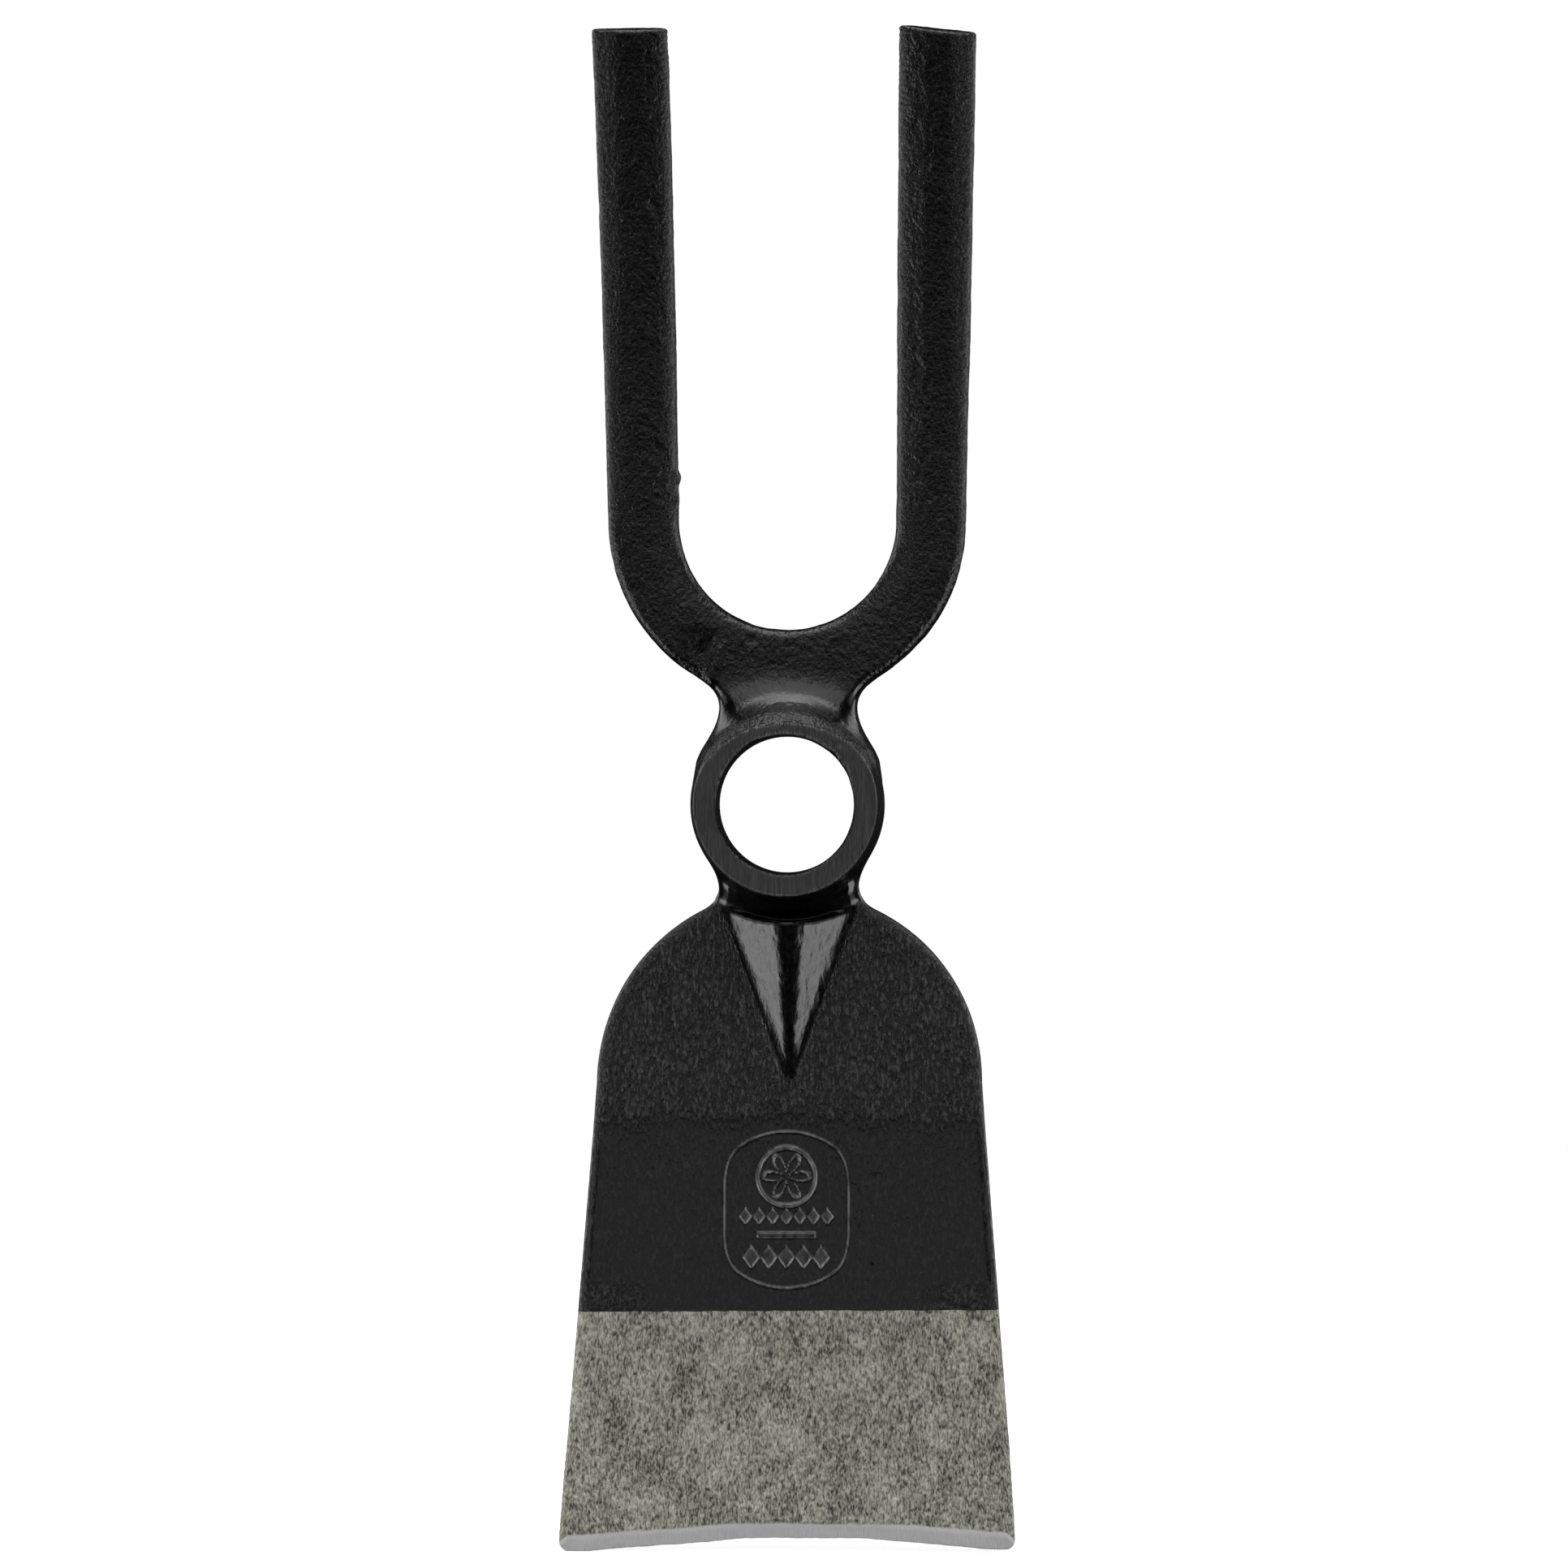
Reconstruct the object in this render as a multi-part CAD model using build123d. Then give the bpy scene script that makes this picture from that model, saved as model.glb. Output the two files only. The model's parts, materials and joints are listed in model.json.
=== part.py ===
from build123d import *
import os
from math import atan2, cos, radians, sin, sqrt

os.makedirs("parts", exist_ok=True)

# Combination hoe head: a two-tine fork above a round eye, a square-mouthed blade below it.
# Millimetres. The origin is the middle of the eye, on its axis. +Z points up the fork,
# -Y to the side the handle and the user are on, +X to the right as seen from there.

# Eye: a sleeve drafted both ways from the parting plane of the dies, round a tapered bore
bore_d = 25.0            # straight land that grips the handle
bore_mouth_d = 28.0      # wide far mouth, where the handle is driven in
eye_depth = 28.0         # length of the eye along its axis
bore_land = 14.0         # from the near face to the start of the taper
sleeve_d = 36.0          # across the parting plane
sleeve_face_d = 33.6     # across each end face
rim_chamfer = 0.8        # broken edge of the bore at both mouths
crown_flat_drop = 2.0    # how far the dressed flat on top of the sleeve cuts in

# Fork
neck_half = 13.0         # half width of both necks
land_half = 5.0          # half thickness of the land beside the eye
cove_r = 4.0             # concave run-out of the lands into the sleeve
fork_root_z = 24.0       # end of the straight land, start of the forward curve
bend_z = 52.0            # centre of the U bend's outer arc
bend_outer_r = 32.8
bend_inner_r = 20.0
bend_inner_z = 52.4      # centre of its inner arc, so the bottom is the thickest
crotch_fillet = 4.0
tine_outer_tip = 34.5    # half widths across the tips
tine_inner_tip = 20.75
tine_tip_z = 140.0
tine_tip_thick = 3.0
tine_lean = 21.0         # how far the tips come forward of the eye's middle

# Blade
blade_shift = 0.4        # the blade sits this far to the right of the eye's axis
shoulder_r = 35.3
shoulder_z = -51.0       # height where the shoulder arcs end
blade_half_top = 35.5    # half width there
blade_half_edge = 41.6   # half width across the cutting edge
edge_corner_z = -135.2
edge_rise = 2.3          # the edge is hollowed this much at its middle
corner_cut = 1.5
blade_root_z = -22.0     # end of the thick web
blade_root_half = 2.5    # half thickness there
blade_lean = 17.0        # how far the edge comes forward of the eye's middle
blade_edge_half = 0.95   # half thickness at the edge, before the bevel
bare_top_z = -92.6       # upper limit of the ground band
bevel_height = 2.1
lip = 0.5                # thickness left under the bevel

# Stiffening rib: a V on the front of the blade, from the sleeve down to a point
rib_top_z = -14.0
rib_tip_z = -51.5
rib_top_half = 13.2
rib_top_y = -10.0
rib_root_y = -2.5        # front of the blade's root, which the rib stands on

reach = 60.0             # half length of the blocks that outlines are carried through


def carried(outline):
    """A flat outline carried both ways through the whole head."""
    return extrude(outline, amount=reach, both=True)


def between(low_z, high_z):
    """A block that keeps what lies between two heights."""
    height = high_z - low_z
    return Pos(0, 0, low_z + height / 2) * Box(4 * reach, 4 * reach, height)


def sleeve():
    """The solid sleeve, before it is bored: two frustums meeting at the parting plane."""
    half_profile = Polyline(
        (0, -eye_depth / 2),
        (sleeve_face_d / 2, -eye_depth / 2),
        (sleeve_d / 2, 0),
        (sleeve_face_d / 2, eye_depth / 2),
        (0, eye_depth / 2),
        close=True,
    )
    return revolve(make_face(half_profile), Axis.Y)


def eye_bore():
    """A straight land on the near side, then a taper to the far mouth, edges broken."""
    near, far = -eye_depth / 2, eye_depth / 2
    overrun = 1.0
    profile = Polyline(
        (0, near - overrun),
        (bore_d / 2 + rim_chamfer + overrun, near - overrun),
        (bore_d / 2, near + rim_chamfer),
        (bore_d / 2, near + bore_land),
        (bore_mouth_d / 2, far - rim_chamfer),
        (bore_mouth_d / 2 + rim_chamfer + overrun, far + overrun),
        (0, far + overrun),
        close=True,
    )
    return revolve(make_face(profile), Axis.Y)


def crown_flat():
    """The block dressed off the near top edge of the sleeve, at 45 degrees."""
    cutter = Pos(0, 0, reach / 2) * Box(2 * reach, 2 * reach, reach)
    return Pos(0, -eye_depth / 2, sleeve_face_d / 2 - crown_flat_drop) * Rot(45, 0, 0) * cutter


def fork_outline():
    """Neck, U bend and both tines, seen from the front. The tines run on past their tips."""
    run_on = 10.0
    outer_top = tine_outer_tip + (tine_outer_tip - bend_outer_r) / (tine_tip_z - bend_z) * run_on
    inner_top = tine_inner_tip + (tine_inner_tip - bend_inner_r) / (tine_tip_z - bend_z) * run_on
    top_z = tine_tip_z + run_on
    outer_left, outer_right = (-bend_outer_r, bend_z), (bend_outer_r, bend_z)
    inner_left, inner_right = (-bend_inner_r, bend_inner_z), (bend_inner_r, bend_inner_z)
    arms = make_face(
        [
            Line((-outer_top, top_z), outer_left),
            ThreePointArc(outer_left, (0, bend_z - bend_outer_r), outer_right),
            Line(outer_right, (outer_top, top_z)),
            Line((outer_top, top_z), (inner_top, top_z)),
            Line((inner_top, top_z), inner_right),
            ThreePointArc(inner_right, (0, bend_inner_z - bend_inner_r), inner_left),
            Line(inner_left, (-inner_top, top_z)),
            Line((-inner_top, top_z), (-outer_top, top_z)),
        ]
    )
    join_z = bend_z - sqrt(bend_outer_r**2 - neck_half**2)
    neck_top = join_z + 1.0
    whole = arms + Pos(0, neck_top / 2) * Rectangle(2 * neck_half, neck_top)
    armpits = [v for v in whole.vertices() if abs(v.Y - join_z) < 0.01]
    return Plane.XZ * fillet(armpits, crotch_fillet)


def fork_profile():
    """Side view: a straight land with a cove into the sleeve, then the forward curve."""
    tilt = 2 * atan2(tine_lean, tine_tip_z - fork_root_z)
    half_y = tine_tip_thick / 2 * cos(tilt)
    half_z = tine_tip_thick / 2 * sin(tilt)
    tip_front = (-tine_lean - half_y, tine_tip_z - half_z)
    tip_back = (-tine_lean + half_y, tine_tip_z + half_z)
    lip = land_half + cove_r
    cove_start, cove_end = (-lip, fork_root_z - cove_r), (-land_half, fork_root_z)
    return Plane.YZ * make_face(
        [
            Line((-lip, 0), cove_start),
            TangentArc(cove_end, cove_start, tangent=(0, -1)),
            TangentArc(cove_end, tip_front, tangent=(0, 1)),
            Line(tip_front, tip_back),
            TangentArc((land_half, fork_root_z), tip_back, tangent=(0, 1)),
            Line((land_half, fork_root_z), (land_half, 0)),
            Line((land_half, 0), (-lip, 0)),
        ]
    )


def blade_outline():
    """Neck, round shoulders, flaring sides and the hollow cutting edge, from the front."""
    neck_join_z = shoulder_z + sqrt(shoulder_r**2 - (neck_half - blade_half_top + shoulder_r) ** 2)
    arc_x = blade_half_top - shoulder_r
    mid = radians(45)
    right_arc_mid = (arc_x + shoulder_r * sin(mid), shoulder_z + shoulder_r * cos(mid))
    left_arc_mid = (-right_arc_mid[0], right_arc_mid[1])
    body = make_face(
        [
            Line((-neck_half, 0), (neck_half, 0)),
            Line((neck_half, 0), (neck_half, neck_join_z)),
            ThreePointArc((neck_half, neck_join_z), right_arc_mid, (blade_half_top, shoulder_z)),
            Line((blade_half_top, shoulder_z), (blade_half_edge, edge_corner_z)),
            ThreePointArc(
                (blade_half_edge, edge_corner_z),
                (0, edge_corner_z + edge_rise),
                (-blade_half_edge, edge_corner_z),
            ),
            Line((-blade_half_edge, edge_corner_z), (-blade_half_top, shoulder_z)),
            ThreePointArc((-blade_half_top, shoulder_z), left_arc_mid, (-neck_half, neck_join_z)),
            Line((-neck_half, neck_join_z), (-neck_half, 0)),
        ]
    )
    armpits = [v for v in body.vertices() if abs(v.Y - neck_join_z) < 0.01]
    body = fillet(armpits, crotch_fillet)
    corners = body.vertices().sort_by(Axis.Y)[:2].sort_by(Axis.X)
    body = chamfer(corners[1], corner_cut)
    corners = body.vertices().sort_by(Axis.Y)[:3].sort_by(Axis.X)
    body = fillet(corners[0], corner_cut)
    return Plane.XZ * Pos(blade_shift, 0) * body


def blade_profile():
    """Side view: thick at the sleeve, coved to the blade's root, then curving forward."""
    tilt = 2 * atan2(blade_lean, blade_root_z - edge_corner_z)
    half_y = blade_edge_half * cos(tilt)
    half_z = blade_edge_half * sin(tilt)
    end_front = (-blade_lean - half_y, edge_corner_z - edge_rise + half_z)
    end_back = (-blade_lean + half_y, edge_corner_z - edge_rise - half_z)
    front_root, back_root = (-blade_root_half, blade_root_z), (blade_root_half, blade_root_z)
    web_top_z = blade_root_z + 2 * cove_r
    front_web, back_web = (-land_half, web_top_z), (land_half, web_top_z)
    return Plane.YZ * make_face(
        [
            Line((-land_half, 0), front_web),
            TangentArc(front_root, front_web, tangent=(0, 1)),
            TangentArc(front_root, end_front, tangent=(0, -1)),
            Line(end_front, end_back),
            TangentArc(back_root, end_back, tangent=(0, -1)),
            TangentArc(back_root, back_web, tangent=(0, 1)),
            Line(back_web, (land_half, 0)),
            Line((land_half, 0), (-land_half, 0)),
        ]
    )


def blade_back_at(height):
    """How far back the back of the blade lies at a height."""
    drop = blade_root_z - edge_corner_z
    rise = blade_lean - blade_edge_half + blade_root_half
    curve_r = (drop**2 + rise**2) / (2 * rise)
    return blade_root_half - curve_r + sqrt(curve_r**2 - (height - blade_root_z) ** 2)


def bevel_cutter():
    """A cone about the centre of the edge's hollow, which grinds the near side to a thin lip."""
    edge_r = (blade_half_edge**2 + edge_rise**2) / (2 * edge_rise)
    centre_z = edge_corner_z + edge_rise - edge_r
    lip_y = blade_back_at(edge_corner_z + edge_rise) - lip
    shoulder_y = blade_back_at(edge_corner_z + edge_rise + bevel_height) - 2 * blade_edge_half
    step_y, step_z = shoulder_y - lip_y, bevel_height
    overrun = 4.0
    line_low = (lip_y - overrun * step_y, centre_z + edge_r - overrun * step_z)
    line_high = (lip_y + overrun * step_y, centre_z + edge_r + overrun * step_z)
    cutter = Polyline(line_low, line_high, (-reach, line_high[1]), (-reach, line_low[1]), close=True)
    return revolve(Plane.YZ * make_face(cutter), Axis((0, 0, centre_z), (0, 1, 0)))


def rib_wedge():
    """A long wedge whose crest falls from the sleeve to the tip, where it meets the blade."""
    spread = rib_top_half / (rib_root_y - rib_top_y)
    base_y = 1.0
    blade_curve_r = ((edge_corner_z - blade_root_z) ** 2 + blade_lean**2) / (2 * blade_lean)
    tip_y = rib_root_y - (rib_tip_z - blade_root_z) ** 2 / (2 * blade_curve_r)

    def section(crest_y, height):
        half = (base_y - crest_y) * spread
        corners = [(blade_shift - half, base_y), (blade_shift, crest_y), (blade_shift + half, base_y)]
        return Pos(0, 0, height) * make_face(Polyline(*corners, close=True))

    return loft([section(tip_y, rib_tip_z), section(rib_top_y, rib_top_z)], ruled=True)


def build_head():
    """Every region of the forging, each a solid of its own, meeting its neighbours face to face."""
    barrel = sleeve()
    fork = carried(fork_outline()) & carried(fork_profile())
    blade = carried(blade_outline()) & carried(blade_profile())
    tines = fork & between(bend_z, tine_tip_z + reach)
    left_tine, right_tine = tines.solids().sort_by(Axis.X)
    blade_neck = (blade & between(blade_root_z, 0)) - barrel
    blade_plate = blade & between(bare_top_z, blade_root_z)
    bit = blade & between(edge_corner_z - reach, bare_top_z)
    rib = rib_wedge() - barrel - blade_neck - blade_plate
    return {
        "eye_socket": barrel - eye_bore() - crown_flat(),
        "fork_neck": (fork & between(0, fork_root_z)) - barrel - crown_flat(),
        "fork_crotch": fork & between(fork_root_z, bend_z),
        "left_tine": left_tine,
        "right_tine": right_tine,
        "blade_neck": blade_neck,
        "stiffening_rib": rib,
        "blade_plate": blade_plate,
        "cutting_bit": bit - bevel_cutter(),
    }


for node, shape in build_head().items():
    whole = shape.solids().sort_by(SortBy.VOLUME)[-1]
    whole.label = node
    export_step(whole, f"parts/{node}.step")
    print(node, len(shape.solids()), round(whole.volume), "mm3")
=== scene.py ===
import json
import math
from itertools import product

import bpy
import numpy as np
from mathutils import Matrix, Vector, geometry


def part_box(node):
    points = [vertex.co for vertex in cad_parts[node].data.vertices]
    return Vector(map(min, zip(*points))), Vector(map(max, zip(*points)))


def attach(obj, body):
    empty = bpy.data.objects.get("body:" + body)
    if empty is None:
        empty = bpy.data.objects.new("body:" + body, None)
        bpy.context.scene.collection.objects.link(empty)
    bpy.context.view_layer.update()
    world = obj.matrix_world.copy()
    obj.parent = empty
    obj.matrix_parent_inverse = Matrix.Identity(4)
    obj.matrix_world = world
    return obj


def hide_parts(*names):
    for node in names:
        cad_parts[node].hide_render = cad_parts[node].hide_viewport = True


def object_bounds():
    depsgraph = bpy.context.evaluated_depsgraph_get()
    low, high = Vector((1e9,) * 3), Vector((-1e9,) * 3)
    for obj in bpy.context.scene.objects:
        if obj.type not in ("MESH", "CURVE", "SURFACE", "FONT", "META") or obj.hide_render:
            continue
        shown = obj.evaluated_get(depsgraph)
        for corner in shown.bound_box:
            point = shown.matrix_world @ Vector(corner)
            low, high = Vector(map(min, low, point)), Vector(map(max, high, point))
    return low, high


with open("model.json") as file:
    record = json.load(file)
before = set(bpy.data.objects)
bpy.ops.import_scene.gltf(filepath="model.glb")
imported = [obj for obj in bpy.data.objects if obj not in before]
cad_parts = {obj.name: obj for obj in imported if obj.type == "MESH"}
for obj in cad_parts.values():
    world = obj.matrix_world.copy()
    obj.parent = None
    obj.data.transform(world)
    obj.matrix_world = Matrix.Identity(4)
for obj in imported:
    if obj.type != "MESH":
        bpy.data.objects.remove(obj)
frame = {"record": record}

cad_low, cad_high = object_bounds()

# ---- Camera and studio ------------------------------------------------------------------
# The head stands upright on its edge, seen almost square on from the user's side, a little
# to the right of the eye's axis, so that a sliver of the bore's left wall shows.
camera_distance = 0.85
camera_azimuth = math.radians(2.0)
view_width = 0.2898            # what the frame takes in at the eye, in metres
view_centre = Vector((-0.00065, 0.0, 0.0038))
sensor = 36.0

camera_data = bpy.data.cameras.new("studio_camera")
camera_data.sensor_width = sensor
camera_data.lens = sensor * camera_distance / view_width
camera = bpy.data.objects.new("studio_camera", camera_data)
step_back = Vector((math.sin(camera_azimuth), -math.cos(camera_azimuth), 0.0))
camera.location = view_centre + camera_distance * step_back
camera.rotation_euler = (math.radians(90), 0.0, camera_azimuth)
bpy.context.scene.collection.objects.link(camera)
bpy.context.scene.camera = camera
bpy.context.scene.view_settings.view_transform = "Standard"


def softbox(name, azimuth, elevation, distance, width, height, radiance):
    """A studio light turned to the eye. Its azimuth is 0 on the camera's side, 90 on the right."""
    data = bpy.data.lights.new(name, "AREA")
    data.shape = "RECTANGLE"
    data.size = width
    data.size_y = height
    data.energy = math.pi * width * height * radiance
    lamp = bpy.data.objects.new(name, data)
    turn, lift = math.radians(azimuth), math.radians(elevation)
    step = Vector((math.sin(turn) * math.cos(lift), -math.cos(turn) * math.cos(lift), math.sin(lift)))
    lamp.location = distance * step
    lamp.rotation_euler = (-step).to_track_quat("-Z", "Y").to_euler()
    bpy.context.scene.collection.objects.link(lamp)


# Low boxes at the sides light the flanks, boxes above the slopes that face up, and a wide dim
# one just over the camera the flat faces of the blade. Below the camera it is dark.
softbox("left_low_box", -72, -28, 1.15, 0.6, 0.6, 4.4)
softbox("left_box", -72, -2, 1.15, 0.7, 0.6, 1.0)
softbox("right_low_box", 72, -28, 1.15, 0.6, 0.6, 4.1)
softbox("right_box", 72, -2, 1.15, 0.7, 0.6, 0.8)
softbox("front_box", 0, 4, 1.4, 1.8, 0.26, 0.58)
softbox("upper_front_box", 0, 15, 1.4, 1.8, 0.30, 0.25)
softbox("high_front_box", 0, 46, 1.15, 1.0, 0.95, 1.6)
softbox("top_box", 0, 85, 1.1, 1.0, 0.7, 4.2)
softbox("back_left_box", -125, 15, 1.1, 0.7, 0.9, 1.6)
softbox("back_right_box", 125, 15, 1.1, 0.7, 0.9, 1.6)

world = bpy.data.worlds.new("white_studio")
bpy.context.scene.world = world
world.use_nodes = True
sky = world.node_tree.nodes
sky.clear()
paper = sky.new("ShaderNodeBackground")
paper.inputs["Color"].default_value = (1, 1, 1, 1)
room = sky.new("ShaderNodeBackground")
room.inputs["Color"].default_value = (1, 1, 1, 1)
room.inputs["Strength"].default_value = 0.01
seen = sky.new("ShaderNodeLightPath")
either = sky.new("ShaderNodeMixShader")
out = sky.new("ShaderNodeOutputWorld")
for start, end in (
    (seen.outputs["Is Camera Ray"], either.inputs[0]),
    (room.outputs[0], either.inputs[1]),
    (paper.outputs[0], either.inputs[2]),
    (either.outputs[0], out.inputs["Surface"]),
):
    world.node_tree.links.new(start, end)

# The floor is a round of white board under the edge.
floor_radius = 0.9
floor_sides = 64
floor_gap = 0.0004
floor_z = cad_low[2] - floor_gap
floor_mesh = bpy.data.meshes.new("floor")
turns = [2 * math.pi * i / floor_sides for i in range(floor_sides)]
floor_rim = [(floor_radius * math.cos(turn), floor_radius * math.sin(turn), floor_z) for turn in turns]
floor_mesh.from_pydata(floor_rim, [], [tuple(range(floor_sides))])
floor = bpy.data.objects.new("floor", floor_mesh)
bpy.context.scene.collection.objects.link(floor)
board = bpy.data.materials.new("white_board")
board.use_nodes = True
board_paint = board.node_tree.nodes["Principled BSDF"]
board_paint.inputs["Base Color"].default_value = (0.9, 0.9, 0.9, 1)
board_paint.inputs["Roughness"].default_value = 0.9
board_paint.inputs["Emission Color"].default_value = (1, 1, 1, 1)
board_paint.inputs["Emission Strength"].default_value = 0.75
floor_mesh.materials.append(board)
floor.visible_glossy = False
floor.visible_shadow = False
floor.visible_diffuse = False

# ---- Handle eye --------------------------------------------------------------------------
# A forged sleeve, drafted both ways from the parting plane of the dies. Its near end is
# ground flat on a belt; the top of that rim stays as forged, a rough crescent. The bore is
# straight near the user and tapers open to the far mouth. All forms here are in millimetres.
MM = 1000.0


def cad_size(node):
    """The lowest and highest corners of a CAD node, in millimetres."""
    low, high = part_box(node)
    return np.array(low) * MM, np.array(high) * MM


def join(a, b, radius):
    """Two forms run together with a hollow fillet."""
    near = np.maximum(radius - np.abs(a - b), 0) / radius
    return np.minimum(a, b) - near * near * radius / 4


def trim(a, b, radius):
    """What two forms share, with the corner between them rounded."""
    return -join(-a, -b, radius)


eye_mount = next(m for m in frame["record"]["mounts"] if m["name"] == "handle_eye")
bore_r = eye_mount["dims"]["r_mm"]
eye_high = cad_size("eye_socket")[1]
sleeve_r = eye_high[0]
eye_half = eye_high[1]
sleeve_draft = 1.2             # the sleeve is this much smaller in radius at its ends
bore_flare = 1.5               # the far mouth is this much larger in radius
near_edge_break = 0.5
far_edge_break = 0.7
crescent_x, crescent_z = 0.3, -4.3      # centre of the as-forged rim crescent
crescent_r = 18.95
square_slope = 0.71            # brings a 45 degree slope back to true distance
# Dents left in the bore's near edge by the drift: degrees round the eye, width, depth.
drift_dents = ((44, 6, 0.30), (120, 8, 0.18), (28, 5, 0.15))


def sleeve_form(x, y, z):
    """The sleeve without its hole, with the slope of the raw crescent cut on its near end."""
    r = np.hypot(x, z)
    wall = r - (sleeve_r - sleeve_draft * np.abs(y) / eye_half)
    crescent = (np.hypot(x - crescent_x, z - crescent_z) - crescent_r - (y + eye_half)) * square_slope
    ends = np.maximum(-eye_half - y, y - eye_half)
    return trim(trim(wall, crescent, 0.8), ends, 0.7)


def bore_form(x, y, z):
    """Positive inside the hole, so that it cuts the forging away."""
    r = np.hypot(x, z)
    taper = np.clip(y / eye_half, 0, 1.2) * bore_flare
    near = np.clip(-y - eye_half + near_edge_break, 0, 3)
    far = np.clip(y - eye_half + far_edge_break, 0, 3)
    return bore_r + taper + (near + far) - r


def lumps(points, size, seed):
    """Smooth random swellings between -1 and 1, of this size in each direction, in millimetres."""
    place = points / np.asarray(size, float) + 31.7
    cell = np.floor(place).astype(np.int64)
    inner = place - cell
    inner = inner * inner * (3 - 2 * inner)
    found = np.zeros(len(points))
    for corner in product((0, 1), repeat=3):
        key = ((cell + corner) * (374761393, 668265263, 2147483647)).sum(1) + seed * 1274126177
        key = ((key ^ (key >> 13)) * 1274126177) & 0xFFFFFFFF
        height = ((key ^ (key >> 16)) & 0xFFFF) / 32767.5 - 1
        share = np.where(np.array(corner) == 1, inner, 1 - inner).prod(1)
        found += height * share
    return found


def roughness(points, layers):
    """Lumps of several sizes laid on each other; a layer is a height, a size and a seed."""
    return sum(height * lumps(points, size, seed) for height, size, seed in layers)


def ramp(value, low, high):
    """0 below low, 1 above high, smooth between."""
    t = np.clip((value - low) / (high - low), 0, 1)
    return t * t * (3 - 2 * t)


def bump(value, centre, width):
    """A smooth hill of this half width about a centre."""
    return np.exp(-(((value - centre) / width) ** 2))


def hills(value, places):
    """Smooth hills in a row; a place is a centre, a half width and a height."""
    return sum(height * bump(value, centre, width) for centre, width, height in places)


def eye_relief(points, normals):
    """The raw crescent is coarse; the bore's near edge has a few dents from the drift."""
    x, y, z = points.T
    r = np.hypot(x, z)
    slant = ramp(-normals[:, 1], 0.35, 0.6) * ramp(0.93 + normals[:, 1], 0, 0.1)
    raw = slant * ramp(z, 5, 8) * ramp(r, 13.8, 14.5) * ramp(19 - r, 0, 1)
    rough = raw * roughness(points, ((0.10, (0.7, 0.7, 0.7), 11), (0.07, (1.6, 1.6, 1.6), 12)))
    turn = np.degrees(np.arctan2(z, x))
    bore = ramp(15.5 - r, 0, 1.5) * ramp(-y, 8, 13)
    dents = bore * hills(turn, drift_dents)
    return rough - dents + bore * 0.05 * lumps(points, (2.5, 3, 2.5), 13)


# ---- Fork --------------------------------------------------------------------------------
# Two flat tines drawn out of one U bend. They are thick at the crotch and thin at the tips,
# curve towards the user, and have a rounded section with a shoulder along the inner side.
crotch_low, crotch_high = cad_size("fork_crotch")
tine_low, tine_high = cad_size("right_tine")
root_z, bend_z = crotch_low[2], crotch_high[2]
bend_outer, bend_inner = crotch_high[0], tine_low[0]
tip_outer, tip_front_y, tip_back_z = tine_high[0], tine_low[1], tine_high[2]
land_half = crotch_high[1]     # half thickness of the land beside the eye
neck_half = 13.0               # half width of the neck
neck_shift = 0.25              # the fork's neck stands a little to the right
neck_waist = 2.1               # taken off the neck's half width at its narrowest
neck_spread = 0.055            # how fast the neck widens again towards the eye
neck_spread_z = 15.2
neck_top_z, neck_foot_z = 24.0, 8.2
crotch_fillet = 7.0
tip_thick = 3.0
inner_splay = 0.7
inner_bend_z = bend_z + 0.4    # the inner bend is centred higher, so the bottom is the thickest
fork_edge = 1.4                # rounding of the tines' long edges
shoulder_share = 0.38          # part of the width taken by the inner shoulder
shoulder_slopes = (0.09, 0.15)          # left and right tine
shoulder_root_z, shoulder_run = 30, 15  # where the shoulder starts, and how soon it is whole
crown_height = 0.012           # per square millimetre across the tine
flank_draft = 0.07             # draft of the flanks from the parting plane
tine_mid = (bend_inner + bend_outer) / 2
# Hammer scale under the lacquer, from the broad swell to the fine grain.
fork_scale = (
    (0.12, (14, 9, 26), 21),
    (0.055, (3.2, 3.2, 4.0), 22),
    (0.050, (1.4, 1.4, 1.7), 23),
    (0.035, (0.8, 0.8, 0.9), 29),
)
curl_places = ((9.6, 29.4, 4.4), (2.6, 28.4, 1.8))      # x, z and width of the curled marks
crease_x, crease_z = -12.6, 30.5                        # a fold in the bend's left side
flaked_places = ((110, 7, 1.0), (88.5, 3.5, 1.0), (66, 8, 0.5))     # up the left tine
flash_burrs = ((60.2, 1.3, 0.75), (56.2, 2.2, 0.45))                # on its inner side


def lean(z, start_z, start_y, end_z, end_y):
    """Where a face lies at a height, on the arc that leaves the straight land at start_z."""
    rise, run = end_y - start_y, end_z - start_z
    arc_r = (run * run + rise * rise) / (2 * abs(rise))
    along = np.clip((z - start_z) * np.sign(run), 0, abs(run) * 1.15)
    return start_y + np.sign(rise) * (arc_r - np.sqrt(arc_r**2 - along**2))


fork_tilt = 2 * math.atan2(-tip_front_y, tip_back_z - root_z)
tip_mid_y = tip_front_y + tip_thick / 2 * math.cos(fork_tilt)
tip_mid_z = tip_back_z - tip_thick / 2 * math.sin(fork_tilt)
tip_back_y = tip_mid_y + tip_thick / 2 * math.cos(fork_tilt)
tip_front_z = tip_mid_z - tip_thick / 2 * math.sin(fork_tilt)


def rounded(side, deep, radius):
    """What an outline and a thickness share, with the long edges rounded."""
    side, deep = side + radius, deep + radius
    beyond = np.hypot(np.maximum(side, 0), np.maximum(deep, 0))
    return np.minimum(np.maximum(side, deep), 0) + beyond - radius


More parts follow.
